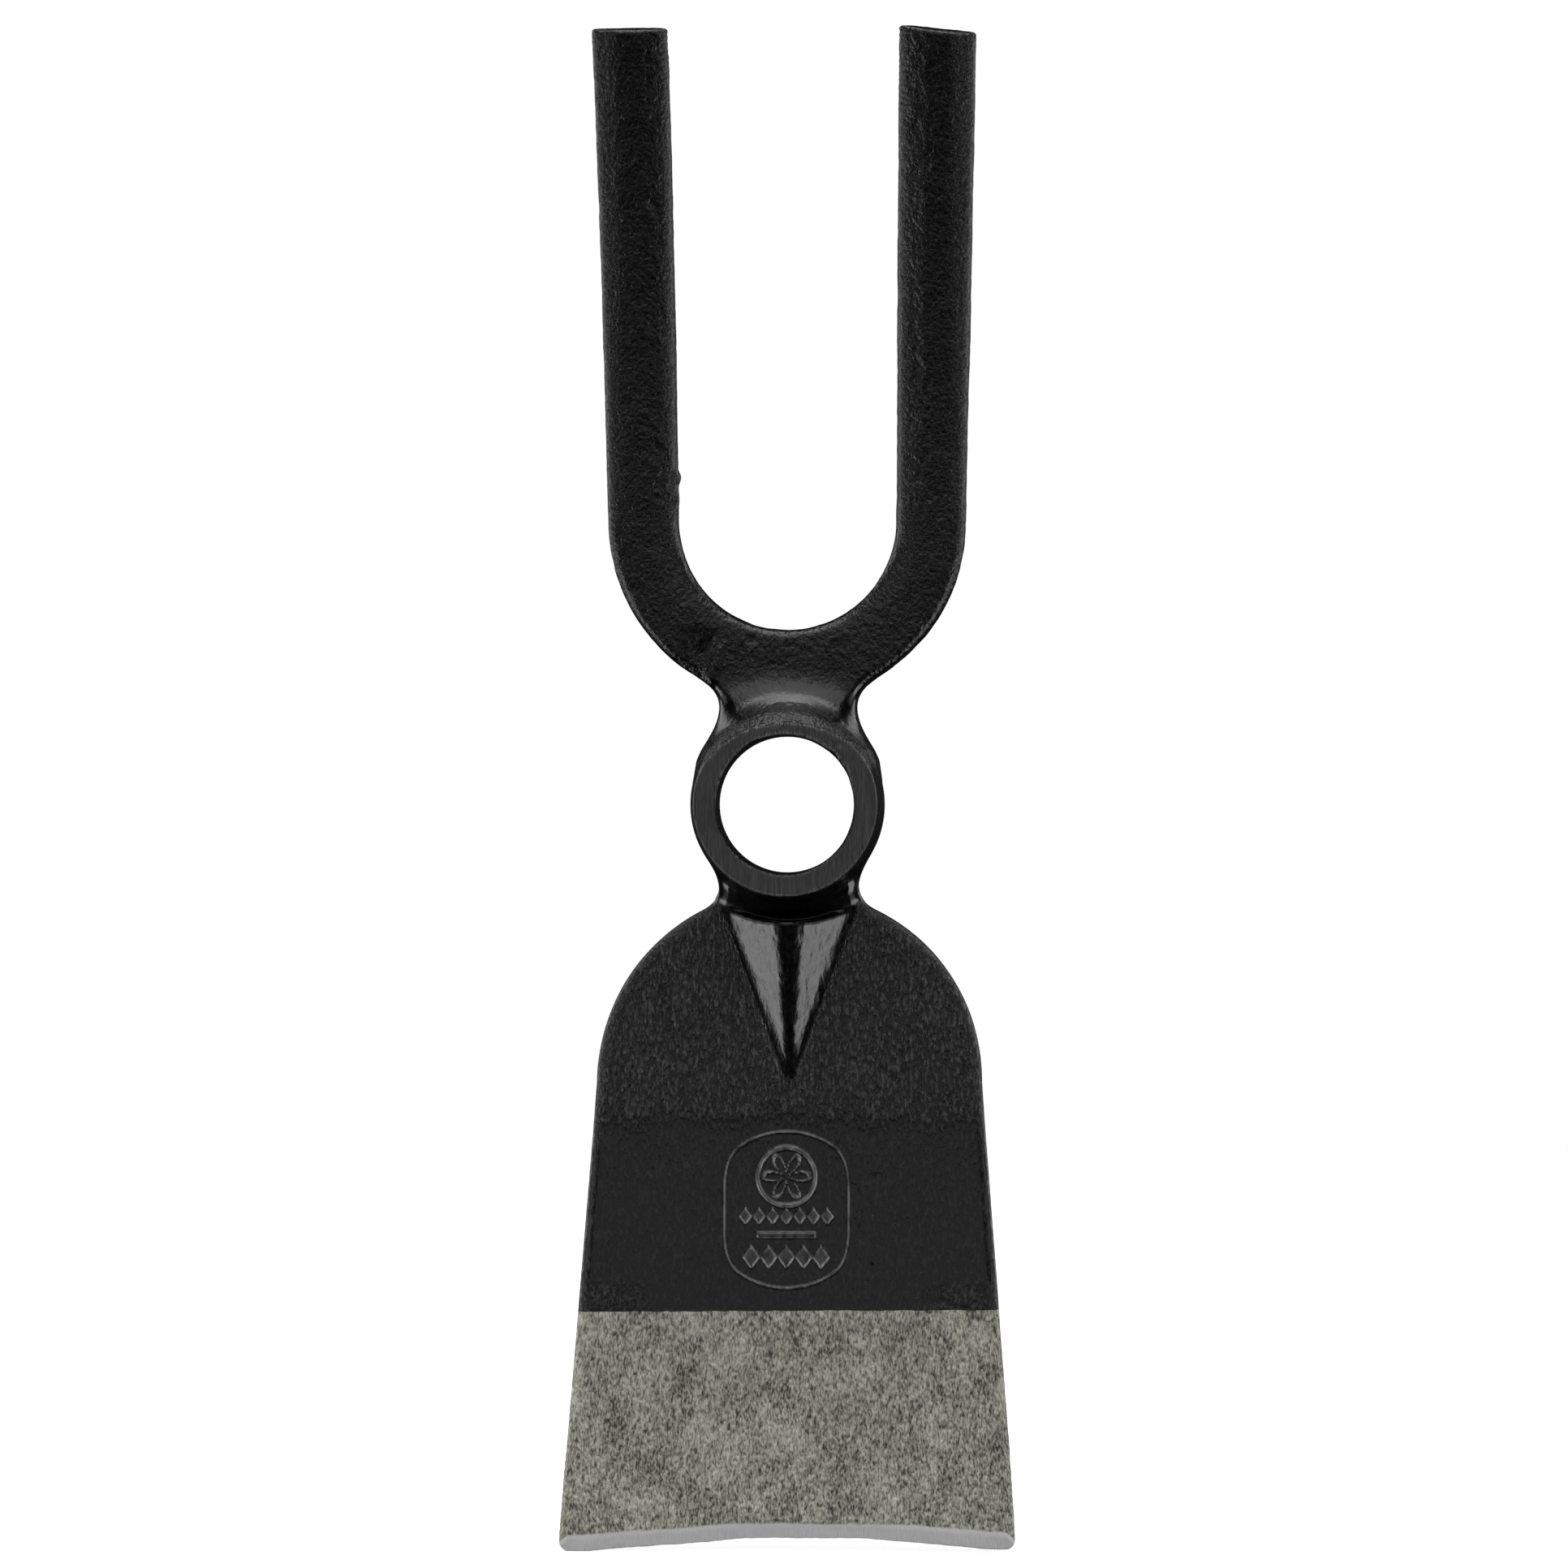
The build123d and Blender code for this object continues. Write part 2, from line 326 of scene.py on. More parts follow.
def fork_form(x, y, z):
    """The neck, the U bend and both tines, cut off at the tips."""
    up = np.clip((z - bend_z) / (tip_mid_z - bend_z), 0, 1.1)
    inner = bend_inner + inner_splay * up
    outer = bend_outer + (tip_outer - bend_outer) * up
    around_inner = np.hypot(x, np.minimum(z - inner_bend_z, 0))
    around_outer = np.hypot(x, np.minimum(z - bend_z, 0))
    half = (outer - inner) / 2
    across = ((around_outer - outer) + (around_inner - inner)) / 2
    band = np.maximum(around_outer - outer - 0.2, inner - around_inner + 0.08)
    low = np.clip(neck_spread_z - z, 0, 7)
    neck_side = np.abs(x - neck_shift) - (neck_half - neck_waist + neck_spread * low * low)
    neck = np.maximum(neck_side, z - neck_top_z)
    neck = np.maximum(neck, neck_foot_z - z)
    plan = join(band, neck, crotch_fillet)
    front = lean(z, root_z, -land_half, tip_front_z, tip_front_y)
    back = lean(z, root_z, land_half, tip_mid_z, tip_back_y)
    shoulder = np.clip(-across / half - (1 - 2 * shoulder_share), 0, 2) * half
    shoulder = shoulder * np.clip((z - shoulder_root_z) / shoulder_run, 0, 1)
    front = front + np.where(x < 0, *shoulder_slopes) * shoulder
    centre = (front + back) / 2
    crown = crown_height * across**2 * np.clip((z - 28) / 12, 0, 1)
    depth = np.maximum(front + crown - y, y - back + 0.5 * crown)
    plan = plan + flank_draft * np.abs(y - centre)
    body = rounded(plan, depth, fork_edge)
    # The right tip is cut aslant and the left one a little hollow.
    end = (y - tip_mid_y) * -math.sin(fork_tilt) + (z - tip_mid_z) * math.cos(fork_tilt)
    end = end + np.where(x > 0, 0.15 + 0.105 * (x - 26), -0.1 + 0.002 * (x + 28) ** 2)
    return trim(body, end, 0.4)


def fork_relief(points, normals):
    """Scale flaked off the inner halves of the tines, flash burrs, and the marks of the hammer."""
    x, y, z = points.T
    front = ramp(-normals[:, 1], 0.1, 0.5)
    left, right = x < 0, x > 0
    on_tines = ramp(z, 24, 30)
    forged = ramp(z, 20, 24)
    height = forged * roughness(points, fork_scale)
    across = np.abs(x) - tine_mid
    ragged = across + 2.6 * lumps(points, (6, 6, 9), 24) + 1.1 * lumps(points, (1.7, 1.7, 2.2), 25)
    low_enough = ramp(z, 50, 56) * ramp(134 - z, 0, 4)
    scaled = ramp(-ragged, 0.2, 0.6) * front * right * low_enough
    height += scaled * (-0.08 + 0.11 * lumps(points, (1.0, 1.0, 1.3), 26))
    broken = ramp(lumps(points, (2.4, 2.4, 3.4), 34), -0.1, 0.4)
    height += right * front * 0.16 * bump(ragged, -0.1, 0.30) * broken * low_enough
    flake = lumps(points, (4.5, 7, 7), 27) + 0.45 * lumps(points, (1.2, 1.2, 1.5), 28)
    flaked = ramp(flake + 0.5 * hills(z, flaked_places), 0.62, 0.72)
    height -= left * front * 0.16 * flaked * ramp(-across, 0.5, 2.5) * on_tines
    inner_side = ramp(-across, 5.2, 6.0) * on_tines
    height += left * inner_side * hills(z, flash_burrs) * bump(y, -4.5, 2.5)
    height += right * inner_side * 0.7 * ramp(z, 137.2, 139.0) * bump(y, tip_mid_y, 2.0)
    curl = np.abs(lumps(points, (1.5, 4, 1.3), 31)) + 0.25 * lumps(points, (0.8, 0.8, 0.8), 32)
    marks = np.max([bump(x, at_x, wide) * bump(z, at_z, 1.8) for at_x, at_z, wide in curl_places], axis=0)
    marks *= front
    height += marks * (0.26 * ramp(0.22 - curl, 0, 0.14) - 0.08)
    crease = (x - crease_x) * -0.955 + (z - crease_z) * 0.295
    fold = ramp(crease, -0.3, 1.0) * ramp(-crease, -8.5, -1.5) * ramp(33 - z, 0, 5) * front
    height -= 0.75 * fold * ramp(z, 19, 22)
    height += 0.38 * bump(crease, -0.8, 0.9) * ramp(31 - z, 0, 3) * front * ramp(z, 17, 20)
    return height


# ---- Blade -------------------------------------------------------------------------------
# A square-mouthed blade spread from the same billet: round shoulders with a narrow bevelled
# border, thinning towards the edge. A V rib under the eye stiffens it.
bit_low, bit_high = cad_size("cutting_bit")
blade_root_z = cad_size("blade_neck")[0][2]
rib_foot_z = cad_size("stiffening_rib")[0][2]
bare_top_z = bit_high[2]
blade_x = (bit_low[0] + bit_high[0]) / 2
edge_half = (bit_high[0] - bit_low[0]) / 2
edge_corner_z = bit_low[2]
edge_rise = 2.3                # how far the edge is hollowed in its middle
blade_root_half = 2.5          # half thickness under the eye
shoulder_r = 35.3
shoulder_z = -51.05
shoulder_half = 35.45
edge_lean = 17.0               # how far the edge stands towards the user
edge_thick = 1.9
lip = 0.55                     # thickness left at the very edge
bevel_height = 2.1
blade_edge = 0.9               # rounding of the outline
border_width = 1.6
border_slope = 0.45
blade_swell = 0.1              # added all round, for the lacquer and the scale
blade_neck_shift = 0.3         # the blade's neck stands a little to the right
blade_neck_foot_z = -24.0
blade_top_z = -8.0             # the blade ends inside the sleeve
shoulder_fillet = 3.2
right_cut, left_cut = 1.5, 0.9          # how much of each corner of the edge is cut away
web_inner_r, web_outer_r = 19.0, 22.6     # round the eye, where the thick web runs out


def blade_faces(z):
    """How far forward the front and the back of the blade lie at a height."""
    front = lean(z, blade_root_z, -blade_root_half, edge_corner_z, -edge_lean - edge_thick / 2)
    back = lean(z, blade_root_z, blade_root_half, edge_corner_z, -edge_lean + edge_thick / 2)
    return front, back


def above_edge(x, z):
    """How far up from the cutting edge, an arc that is worn less on the left."""
    edge_r = (edge_half**2 + edge_rise**2) / (2 * edge_rise)
    left_over = 0.35 + 0.55 * ramp(-x, 6, 20) - 0.2 * ramp(x, 5, 12) - 0.3 * ramp(np.abs(x), 35, 41)
    return np.hypot(x, z - (edge_corner_z + edge_rise - edge_r)) - edge_r + left_over


def blade_form(x, y, z):
    """The blade with its neck, bordered, its corners cut, its edge hollowed and bevelled."""
    x = x - blade_x
    down = (edge_half - shoulder_half) * (shoulder_z - z) / (shoulder_z - edge_corner_z)
    sides = np.abs(x) - (shoulder_half + down)
    shoulders = np.hypot(np.maximum(np.abs(x) - shoulder_half + shoulder_r, 0), z - shoulder_z) - shoulder_r
    spade = np.where(z > shoulder_z, shoulders, sides)
    neck_side = np.abs(x + blade_x - blade_neck_shift) - neck_half + blade_neck_shift
    neck = np.maximum(neck_side, blade_neck_foot_z - z)
    plan = join(spade, neck, shoulder_fillet)
    plan = np.maximum(plan, z - blade_top_z)
    front, back = blade_faces(z)
    web = np.clip((web_outer_r - np.hypot(x, z)) / (web_outer_r - web_inner_r), 0, 1)
    web = web * web * (3 - 2 * web) * (land_half - blade_root_half)
    border = border_slope * np.clip(border_width + plan, 0, border_width)
    depth = np.maximum(front - web + border - y, y - back - web + 0.6 * border)
    body = rounded(plan, depth, blade_edge)
    body = body - blade_swell
    body = trim(body, -above_edge(x, z), np.where(x < 0, 0.5, 0.35))
    right_corner = (x - z - edge_half + edge_corner_z + right_cut) * square_slope
    left_corner = (-x - z - edge_half + edge_corner_z + left_cut) * square_slope
    body = trim(body, np.maximum(right_corner, left_corner), 0.6)
    return trim(body, bevel_form(x, y, z), 0.25)


def bevel_form(x, y, z):
    """Positive in front of the bevel that is whetted on the near side of the edge."""
    slope = (edge_thick - lip) / bevel_height
    return (blade_faces(z)[1] - lip - y - above_edge(x, z) * slope) * 0.84


def whetted_share(points):
    """1 on the bevel and 0 off it."""
    x, y, z = points.T
    return ramp(bevel_form(x - blade_x, y, z), -0.35, -0.15)


rib_top_y = -11.0              # where the two facets would meet, before the crest is flattened
rib_half_top = 12.6
rib_top_z = -17.8
rib_crest_cut = 1.05           # taken off the crest where the rib is highest
trough_r = 21.2                # the hollow between the sleeve and the rib


def rib_half(z):
    """Half the width of the V at a height."""
    return rib_half_top * np.clip((z - rib_foot_z) / (rib_top_z - rib_foot_z), 0, 1.2)


def rib_form(x, y, z):
    """Two facets that rise towards the eye, with a flattened crest."""
    x = x - blade_x
    share = np.clip((z - rib_foot_z) / (rib_top_z - rib_foot_z), -0.3, 1.3)
    front, back = blade_faces(z)
    rise = share * (-rib_top_y - blade_root_half)
    slope = (-rib_top_y - blade_root_half) / rib_half_top
    facet = (front - rise - y + np.abs(x) * slope) * 0.83
    crest = front - rise + 0.2 + rib_crest_cut * share - y
    body = trim(facet, crest, 0.3 + 0.9 * np.clip(share, 0, 1))
    body = np.maximum(np.maximum(body, y - back), z + 10)
    body = np.maximum(body, np.abs(x) - rib_half(z) - 0.4)
    trough = trough_r - np.hypot(x, z) + 0.12 * (y + 6)
    return trim(body, trough, 1.6)


mark_x, mark_z = 0.0, -74.3        # middle of the maker's mark on the blade
mark_half, mark_height, mark_bow = 11.4, 14.2, 15.1
daisy_z, daisy_r, ring_r = 6.0, 4.3, 5.3    # the daisy in its ring, above the middle
upper_studs = np.arange(-7.5, 8, 2.5)       # lozenges along the upper and the lower row
lower_studs = (-6.4, -3.2, 0, 3.2, 6.4)
line_height, sign_height = 0.15, 0.45


def studs(x, z, places, half_width, half_height):
    """Lozenges in a row at these places along x, 1 in their middles and 0 outside."""
    found = np.zeros(len(x))
    for place in places:
        reach = np.abs(x - place) / half_width + np.abs(z) / half_height
        found = np.maximum(found, ramp(1.15 - reach, 0, 0.45))
    return found


def mark_relief(points):
    """A plain mark with no meaning, struck by the die: a barrel-shaped line round a daisy in
    a ring, two rows of lozenges and a bar."""
    x, z = points[:, 0] - mark_x, points[:, 2] - mark_z
    barrel = trim(np.abs(x) - mark_half, np.hypot(x, np.abs(z) + mark_bow - mark_height) - mark_bow, 3.0)
    line = bump(barrel, 0, 0.22)
    turn, r = np.arctan2(z - daisy_z, x), np.hypot(x, z - daisy_z)
    petals = bump(r - daisy_r * np.abs(np.cos(3 * turn)), 0, 0.30) * (r < daisy_r + 0.3)
    ring = bump(r, ring_r, 0.30)
    signs = np.maximum(petals, ring)
    signs = np.maximum(signs, studs(x, z + 1.2, upper_studs, 1.15, 1.5))
    bar = np.maximum(np.abs(x) - 5.4, np.abs(z + 4.6) - 0.55)
    signs = np.maximum(signs, ramp(-bar, -0.1, 0.3))
    signs = np.maximum(signs, studs(x, z + 8.6, lower_studs, 1.6, 2.1))
    return line_height * line, signs


def on_front(points):
    """1 before the middle of the blade's thickness and 0 behind it."""
    return (points[:, 1] < sum(blade_faces(points[:, 2])) / 2).astype(float)


def sign_highlight_share(points):
    """1 where a painted highlight lightens the lacquer: on the slopes of the mark's signs, most on
    their right and lower sides, as if lit from there, on the barrel line, and patchily."""
    line, signs = mark_relief(points)
    below = mark_relief(points + (0.3, 0.0, -0.3))[1]
    slopes = ramp(signs, 0.05, 0.35) * (1 - 0.7 * ramp(signs, 0.75, 1.0))
    slopes *= 0.35 + 0.65 * ramp(signs - below, -0.2, 0.5)
    slopes = np.maximum(slopes, 0.55 * ramp(line, 0.05, 0.12)) * on_front(points)
    return slopes * np.clip(0.7 + 0.6 * lumps(points, (0.7, 0.7, 1.2), 48), 0, 1)


def grain_share(points):
    """How coarse the scale under the lacquer is: 1 on the upper blade, less on the fork, and
    next to nothing on the rib, in the hollows round the eye and on the lower blade."""
    x, y, z = points.T
    upper = ramp(z + 1.5 * lumps(points, (5, 5, 5), 49), -61.0, -55.5)
    patch = ramp(-z, 86, 90) * ramp(np.abs(x), 22, 32)
    on_rib = ramp(rib_half(z) + 0.3 - np.abs(x - blade_x), -0.4, 0.2)
    on_rib *= ramp(z, rib_foot_z - 1, rib_foot_z + 2)
    off_rib = 1 - 0.85 * on_rib * on_front(points)
    blade = (0.26 + 0.74 * upper + 0.5 * patch) * off_rib * ramp(np.hypot(x, z), 20.5, 25.0)
    across = np.abs(x) - tine_mid
    fork = 0.12 + 0.48 * ramp(z, 20.5, 25) + 0.4 * ramp(np.abs(across), 2.5, 6) * ramp(z, 40, 60)
    raw = ramp(np.hypot(x - crescent_x, z - crescent_z), crescent_r - 0.4, crescent_r) * ramp(z, 4, 8)
    raw *= ramp(18.2 - np.hypot(x, z), 0, 0.8) * ramp(-y, 9, 11)
    return np.maximum(np.where(z < 0, blade, fork), 0.8 * raw)


def blade_relief(points, normals):
    """Die marks, grain of the scale above the ground part, and nicks in the edge."""
    x, y, z = points.T
    front = ramp(-normals[:, 1], 0.3, 0.7)
    face = ramp(np.abs(normals[:, 1]), 0.3, 0.7)
    blade = ramp(-z, 16, 22)
    lacquered = ramp(z, bare_top_z - 0.2, bare_top_z + 0.2)
    patch = ramp(-z, 86, 90) * lacquered * ramp(np.abs(x), 22, 32)
    grainy = ramp(z, -57.5, -55.0) + 0.8 * patch
    height = blade * roughness(points, ((0.20, (26, 20, 34), 41), (0.05, (7, 7, 9), 42)))
    height += blade * face * lacquered * (0.012 + 0.045 * grainy) * lumps(points, (0.8, 0.8, 1.8), 43)
    worn = bump(x, 14.5 + 2 * lumps(points, (9, 9, 9), 44), 2.6) * bump(z, -74, 20) * front
    height -= worn * 0.10 * ramp(lumps(points, (1.1, 1.1, 1.6), 45), 0.1, 0.6)
    line, signs = mark_relief(points)
    height += front * lacquered * blade * (line + sign_height * signs)
    nicks = ramp(-z, 131.5, 133.5) * lumps(points, (1.6, 1.6, 1.6), 46)
    return height + 0.07 * nicks + 0.045 * blade * (1 - lacquered) * lumps(points, (0.9, 0.9, 2.4), 47)


# ---- The forging is struck ---------------------------------------------------------------
# One skin is laid over the whole form, so that the grain of the forging runs on from piece
# to piece. The skin is then parted at the same places as the solids.
web_fillet, cove_fillet = 2.5, 8.5      # where the sleeve runs into the web and into the fork
rib_fillet = 1.1
blade_fillet = 2.6
bore_edge = 0.5
skin_pitch = 0.4
fine_border = 1.5                       # finer squares reach this far round a detail
eye_cut_r = sleeve_r + 0.5              # the neighbours are parted from the sleeve here
bit_line_tilt, bit_line_rough = 0.0075, 0.09    # the ground band's upper line
parting_snap = 0.004                    # points this near a parting are taken to lie on it
facet_overlap = 0.15                    # the rib's piece reaches this far past its foot


def forging_form(x, y, z):
    """The whole head, negative inside the steel."""
    fork_fillet = web_fillet + np.clip(z / 10, 0, 1) * (cove_fillet - web_fillet)
    body = join(fork_form(x, y, z), sleeve_form(x, y, z), fork_fillet)
    blade = join(blade_form(x, y, z), rib_form(x, y, z), rib_fillet)
    body = join(body, blade, blade_fillet)
    return trim(body, bore_form(x, y, z), bore_edge)


def strike(form, low, high, pitch):
    """Lays a skin of squares of about this pitch over the surface where the form is zero."""
    axes = [np.arange(low[a] - 2 * pitch, high[a] + 3 * pitch, pitch, dtype=np.float32) for a in range(3)]
    values = np.empty([len(a) for a in axes], np.float32)
    slab = 64
    for k in range(0, len(axes[2]), slab):
        heights = axes[2][None, None, k : k + slab]
        values[:, :, k : k + slab] = form(axes[0][:, None, None], axes[1][None, :, None], heights)
    inside = values < 0
    nx, ny, nz = (n - 1 for n in values.shape)
    filled = np.zeros((nx, ny, nz), np.uint8)
    for i, j, k in product((0, 1), repeat=3):
        filled += inside[i : nx + i, j : ny + j, k : nz + k]
    cells = np.argwhere((filled > 0) & (filled < 8))
    number = np.full(filled.shape, -1, np.int32)
    number[tuple(cells.T)] = np.arange(len(cells))
    total = np.zeros((len(cells), 3))
    hits = np.zeros(len(cells))
    for axis in range(3):
        u, v = (axis + 1) % 3, (axis + 2) % 3
        for du, dv in product((0, 1), repeat=2):
            start = cells.copy()
            start[:, u] += du
            start[:, v] += dv
            end = start.copy()
            end[:, axis] += 1
            a, b = values[tuple(start.T)], values[tuple(end.T)]
            crossed = (a < 0) != (b < 0)
            share = np.where(crossed, a / np.where(crossed, a - b, 1), 0)
            point = start.astype(float)
            point[:, axis] += share
            total += point * crossed[:, None]
            hits += crossed
    points = total / hits[:, None] * pitch + np.array([a[0] for a in axes])
    squares = []
    for axis in range(3):
        u, v = (axis + 1) % 3, (axis + 2) % 3
        first, second = [slice(None)] * 3, [slice(None)] * 3
        first[axis], second[axis] = slice(0, -1), slice(1, None)
        starts = inside[tuple(first)]
        edges = np.argwhere(starts != inside[tuple(second)])
        around = []
        for du, dv in ((0, 0), (-1, 0), (-1, -1), (0, -1)):
            cell = edges.copy()
            cell[:, u] += du
            cell[:, v] += dv
            around.append(number[tuple(cell.T)])
        ring = np.stack(around, 1)
        leaving = starts[tuple(edges.T)]
        squares.append(np.where(leaving[:, None], ring, ring[:, ::-1]))
    squares = np.concatenate(squares)
    triangles = np.concatenate([squares[:, [0, 1, 2]], squares[:, [0, 2, 3]]])
    return points, triangles


def slope_of(form, points, reach=0.04):
    """The form's gradient at each point."""
    found = np.empty_like(points)
    for axis in range(3):
        shift = np.zeros(3)
        shift[axis] = reach
        ahead, behind = points + shift, points - shift
        found[:, axis] = (form(*ahead.T) - form(*behind.T)) / (2 * reach)
    return found


def settle(form, points, pitch, rounds=3):
    """Draws the skin onto the true surface."""
    for _ in range(rounds):
        gradient = slope_of(form, points)
        steep = np.maximum((gradient**2).sum(1), 0.05)
        step = form(*points.T) / steep
        points = points - np.clip(step, -0.5 * pitch, 0.5 * pitch)[:, None] * gradient
    return points


def facing(points, triangles):
    """The skin's normals at its points."""
    a, b, c = (points[triangles[:, i]] for i in range(3))
    flat = np.cross(b - a, c - a)
    total = np.zeros((len(points), 3))
    for axis, corner in product(range(3), repeat=2):
        total[:, axis] += np.bincount(triangles[:, corner], flat[:, axis], len(points))
    return total / np.maximum(np.linalg.norm(total, axis=1), 1e-12)[:, None]


def refine(points, triangles, chosen):
    """Halves the sides between chosen points, where fine detail is to come."""
    sides = triangles[:, [0, 1, 1, 2, 2, 0]].reshape(-1, 3, 2)
    halved = chosen[sides].all(2)
    cut = np.sort(sides[halved], axis=1)
    unique, where = np.unique(cut, axis=0, return_inverse=True)
    middle = np.full(halved.shape, -1)
    middle[halved] = where.reshape(-1) + len(points)
    points = np.concatenate([points, points[unique].mean(1)])
    count = halved.sum(1)
    a, b, c = triangles[count == 3].T
    ab, bc, ca = middle[count == 3].T
    whole = [np.stack(t, 1) for t in ((a, ab, ca), (ab, b, bc), (ca, bc, c), (ab, bc, ca))]
    one, one_middle = triangles[count == 1], middle[count == 1]
    order = (halved[count == 1].argmax(1)[:, None] + np.arange(3)) % 3
    a, b, c = np.take_along_axis(one, order, 1).T
    m = one_middle.max(1)
    halves = [np.stack((a, m, c), 1), np.stack((m, b, c), 1)]
    return points, np.concatenate([triangles[count == 0], *whole, *halves])


def fine_places(points):
    """Where the skin needs finer squares: the mark, the eye's front, the rib and the edge."""
    x, y, z = points.T
    front = blade_faces(z)[0]
    in_mark = (np.abs(x - mark_x) < mark_half + 1) & (np.abs(z - mark_z) < mark_height + 1)
    in_mark &= y < front + 1
    at_eye = (np.hypot(x, z) < 25) & (y < -3) & (np.hypot(x, z) > bore_r - 0.2)
    at_bevel = (z < edge_corner_z + edge_rise + bevel_height + fine_border) & (y < front + 2)
    return in_mark | at_eye | at_bevel


points, triangles = strike(forging_form, np.array(cad_low) * MM, np.array(cad_high) * MM, skin_pitch)
points = settle(forging_form, points, skin_pitch)
points, triangles = refine(points, triangles, fine_places(points))
points = settle(forging_form, points, skin_pitch, 1)
way = slope_of(forging_form, points)
way /= np.linalg.norm(way, axis=1)[:, None]
raised = eye_relief(points, way) + fork_relief(points, way) + blade_relief(points, way)
points = points + raised[:, None] * way
normals = facing(points, triangles)


def part(skin, faces, level_at):
    """Parts faces of the skin where level_at is zero, and returns those below and above."""
    level = level_at(skin["points"])
    level[np.abs(level) < parting_snap] = 0
    sign = np.sign(level[faces])
    crossing = (sign.min(1) < 0) & (sign.max(1) > 0)
    crossed, crossed_sign = faces[crossing], sign[crossing]
    odd = np.where(
        (crossed_sign == 0).any(1),
        (crossed_sign == 0).argmax(1),
        (crossed_sign == -np.sign(crossed_sign.sum(1))[:, None]).argmax(1),
    )
    order = (odd[:, None] + np.arange(3)) % 3
    turned = np.take_along_axis(crossed, order, 1)
    turned_sign = np.take_along_axis(crossed_sign, order, 1)
    through = turned_sign[:, 0] == 0
    sides = [turned[through][:, [1, 2]], turned[~through][:, [0, 1]], turned[~through][:, [0, 2]]]
    edges = np.sort(np.concatenate(sides), axis=1)
    unique, where = np.unique(edges, axis=0, return_inverse=True)
    where = where.reshape(-1) + len(skin["points"])
    a, b = unique[:, 0], unique[:, 1]
    share = (level[a] / (level[a] - level[b]))[:, None]
    for key in ("points", "normals"):
        skin[key] = np.concatenate([skin[key], skin[key][a] * (1 - share) + skin[key][b] * share])
    counts = np.cumsum([len(part_sides) for part_sides in sides])
    middle, left, right = np.split(where, counts[:-1])
    p, q, r = turned[through].T
    o, u, v = turned[~through].T
    new = np.concatenate(
        [
            np.stack([p, q, middle], 1),
            np.stack([p, middle, r], 1),
            np.stack([o, left, right], 1),
            np.stack([left, u, v], 1),
            np.stack([left, v, right], 1),
        ]
    )
    level = np.concatenate([level, np.zeros(len(unique))])
    kept = np.concatenate([faces[~crossing], new])
    below = level[kept].sum(1) < 0
    return kept[below], kept[~below]


def open_rims(faces, count):
    """The loops of points along the open sides of a share of the skin."""
    sides = np.concatenate([faces[:, [0, 1]], faces[:, [1, 2]], faces[:, [2, 0]]])
    key, back = sides[:, 0] * count + sides[:, 1], sides[:, 1] * count + sides[:, 0]
    follows = {int(b): int(a) for a, b in sides[~np.isin(key, back)]}
    while follows:
        start, step = next(iter(follows.items()))
        loop = [start]
        del follows[start]
        while step != start:
            loop.append(step)
            step = follows.pop(step)
        yield loop


def grow(skin, extra, normal):
    """Adds points to the skin and returns their numbers."""
    first = len(skin["points"])
    skin["points"] = np.concatenate([skin["points"], extra])
    skin["normals"] = np.concatenate([skin["normals"], np.tile(normal, (len(extra), 1))])
    return list(range(first, first + len(extra)))


def within(places, outline):
    """Whether each place of a plane lies inside an outline."""
    ahead = np.roll(outline, 1, axis=0)
    run = ahead - outline
    height = places[:, 1:]
    spans = (outline[:, 1] > height) != (ahead[:, 1] > height)
    slant = run[:, 0] / np.where(run[:, 1] == 0, 1, run[:, 1])
    cross_x = outline[:, 0] + (height - outline[:, 1]) * slant
    return (spans & (places[:, :1] < cross_x)).sum(1) % 2 == 1


def unrolled(rim, lid_pitch=1.3, clearance=0.7):
    """A rim on the eye's cylinder laid out flat, a grid of places within it, and the same
    places on the cylinder."""
    x, y, z = rim.T
    side = 1 if z.mean() > 0 else -1
    flat = np.stack([np.arctan2(x, side * z) * eye_cut_r, y], 1)
    across, along = np.arange(-24, 24, lid_pitch), np.arange(-12, 12, lid_pitch)
    grid = np.stack(np.meshgrid(across, along), -1).reshape(-1, 2)
    gap = np.sqrt(((grid[:, None] - flat[None]) ** 2).sum(2).min(1))
    grid = grid[within(grid, flat) & (gap > clearance)]
    turn = grid[:, 0] / eye_cut_r
    bent = np.stack([np.sin(turn) * eye_cut_r, grid[:, 1], np.cos(turn) * eye_cut_r * side], 1)
    return flat, grid, bent


